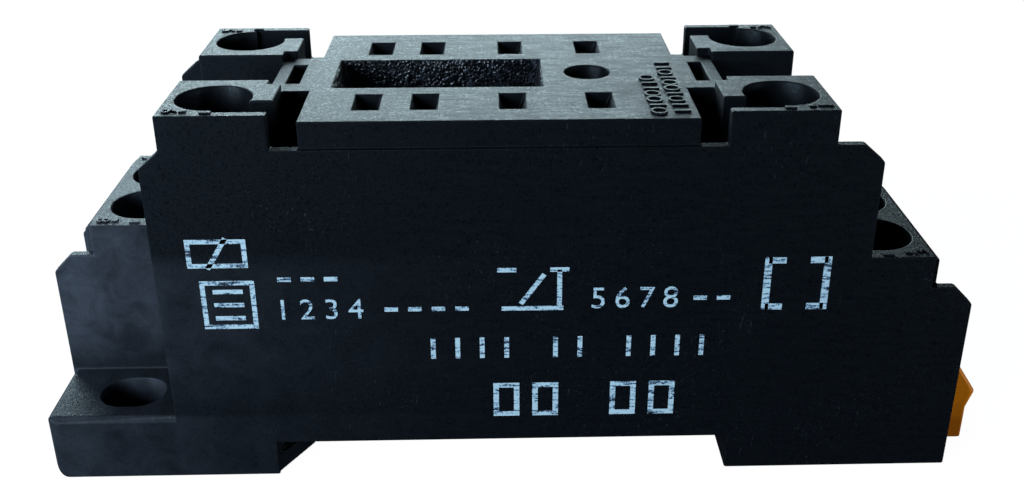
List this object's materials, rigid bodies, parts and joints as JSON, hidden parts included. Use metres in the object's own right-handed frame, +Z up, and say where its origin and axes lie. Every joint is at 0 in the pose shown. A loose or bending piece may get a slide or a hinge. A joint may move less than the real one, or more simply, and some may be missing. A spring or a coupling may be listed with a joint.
{
  "type": "relay socket",
  "caption": "Rail-mounted relay socket with a blade-slot seat, two tiers of screw terminals at each end and a sliding spring clip that locks it on the rail.",
  "frame": {"origin": "on the ground under the middle of the whole socket, clip included; the housing's middle lies 1.5 mm to the left of it (-X)", "axes": "+X along the socket towards the clip's pull tab, -Y is the front, +Z up from the rail to the relay"},
  "size_m": [0.0738, 0.0226, 0.03],
  "materials": {
    "black_plastic": "moulded, semi-gloss",
    "orange_plastic": "moulded, satin",
    "brass": "stamped, bright",
    "spring_bronze": "tinned spring sheet",
    "zinc_steel": "zinc plated"
  },
  "bodies": {
    "base": {"housing": "black_plastic", "base_cover": "black_plastic", "terminal_1": "brass", "terminal_2": "brass", "terminal_3": "brass", "terminal_4": "brass", "terminal_5": "brass", "terminal_6": "brass", "terminal_7": "brass", "terminal_8": "brass", "contact_1": "spring_bronze", "contact_2": "spring_bronze", "contact_3": "spring_bronze", "contact_4": "spring_bronze", "contact_5": "spring_bronze", "contact_6": "spring_bronze", "contact_7": "spring_bronze", "contact_8": "spring_bronze"},
    "clip": {"din_clip": "orange_plastic"},
    "clamp_1": {"clamp_1": "zinc_steel"},
    "screw_1": {"screw_1": "zinc_steel"},
    "clamp_2": {"clamp_2": "zinc_steel"},
    "screw_2": {"screw_2": "zinc_steel"},
    "clamp_3": {"clamp_3": "zinc_steel"},
    "screw_3": {"screw_3": "zinc_steel"},
    "clamp_4": {"clamp_4": "zinc_steel"},
    "screw_4": {"screw_4": "zinc_steel"},
    "clamp_5": {"clamp_5": "zinc_steel"},
    "screw_5": {"screw_5": "zinc_steel"},
    "clamp_6": {"clamp_6": "zinc_steel"},
    "screw_6": {"screw_6": "zinc_steel"},
    "clamp_7": {"clamp_7": "zinc_steel"},
    "screw_7": {"screw_7": "zinc_steel"},
    "clamp_8": {"clamp_8": "zinc_steel"},
    "screw_8": {"screw_8": "zinc_steel"}
  },
  "joints": [
    {"name": "clip_slide", "type": "slide", "parent": "base", "child": "clip", "axis": [1, 0, 0], "range_m": [0, 0.003], "stiffness_N_per_m": 2000, "springref_m": -0.0005},
    {"name": "clamp_lift_1", "type": "slide", "parent": "base", "child": "clamp_1", "axis": [0, 0, 1], "range_m": [0, 0.003]},
    {"name": "screw_turn_1", "type": "hinge", "parent": "clamp_1", "child": "screw_1", "pos_m": [0.0189, -0.00735, 0.0213], "axis": [0, 0, 1], "range_deg": [0, 2160]},
    {"name": "clamp_lift_2", "type": "slide", "parent": "base", "child": "clamp_2", "axis": [0, 0, 1], "range_m": [0, 0.003]},
    {"name": "screw_turn_2", "type": "hinge", "parent": "clamp_2", "child": "screw_2", "pos_m": [0.0189, 0.00735, 0.0213], "axis": [0, 0, 1], "range_deg": [0, 2160]},
    {"name": "clamp_lift_3", "type": "slide", "parent": "base", "child": "clamp_3", "axis": [0, 0, 1], "range_m": [0, 0.003]},
    {"name": "screw_turn_3", "type": "hinge", "parent": "clamp_3", "child": "screw_3", "pos_m": [0.02713, -0.00703, 0.0113], "axis": [0, 0, 1], "range_deg": [0, 2160]},
    {"name": "clamp_lift_4", "type": "slide", "parent": "base", "child": "clamp_4", "axis": [0, 0, 1], "range_m": [0, 0.003]},
    {"name": "screw_turn_4", "type": "hinge", "parent": "clamp_4", "child": "screw_4", "pos_m": [0.02713, -0.00037, 0.0113], "axis": [0, 0, 1], "range_deg": [0, 2160]},
    {"name": "clamp_lift_5", "type": "slide", "parent": "base", "child": "clamp_5", "axis": [0, 0, 1], "range_m": [0, 0.003]},
    {"name": "screw_turn_5", "type": "hinge", "parent": "clamp_5", "child": "screw_5", "pos_m": [-0.0219, 0.00735, 0.0213], "axis": [0, 0, 1], "range_deg": [0, 2160]},
    {"name": "clamp_lift_6", "type": "slide", "parent": "base", "child": "clamp_6", "axis": [0, 0, 1], "range_m": [0, 0.003]},
    {"name": "screw_turn_6", "type": "hinge", "parent": "clamp_6", "child": "screw_6", "pos_m": [-0.0219, -0.00735, 0.0213], "axis": [0, 0, 1], "range_deg": [0, 2160]},
    {"name": "clamp_lift_7", "type": "slide", "parent": "base", "child": "clamp_7", "axis": [0, 0, 1], "range_m": [0, 0.003]},
    {"name": "screw_turn_7", "type": "hinge", "parent": "clamp_7", "child": "screw_7", "pos_m": [-0.03013, 0.00703, 0.0113], "axis": [0, 0, 1], "range_deg": [0, 2160]},
    {"name": "clamp_lift_8", "type": "slide", "parent": "base", "child": "clamp_8", "axis": [0, 0, 1], "range_m": [0, 0.003]},
    {"name": "screw_turn_8", "type": "hinge", "parent": "clamp_8", "child": "screw_8", "pos_m": [-0.03013, 0.00037, 0.0113], "axis": [0, 0, 1], "range_deg": [0, 2160]}
  ],
  "couplings": [
    {"joint": "screw_turn_1", "follows": "clamp_lift_1", "rad_per_m": 12566},
    {"joint": "screw_turn_2", "follows": "clamp_lift_2", "rad_per_m": 12566},
    {"joint": "screw_turn_3", "follows": "clamp_lift_3", "rad_per_m": 12566},
    {"joint": "screw_turn_4", "follows": "clamp_lift_4", "rad_per_m": 12566},
    {"joint": "screw_turn_5", "follows": "clamp_lift_5", "rad_per_m": 12566},
    {"joint": "screw_turn_6", "follows": "clamp_lift_6", "rad_per_m": 12566},
    {"joint": "screw_turn_7", "follows": "clamp_lift_7", "rad_per_m": 12566},
    {"joint": "screw_turn_8", "follows": "clamp_lift_8", "rad_per_m": 12566}
  ]
}
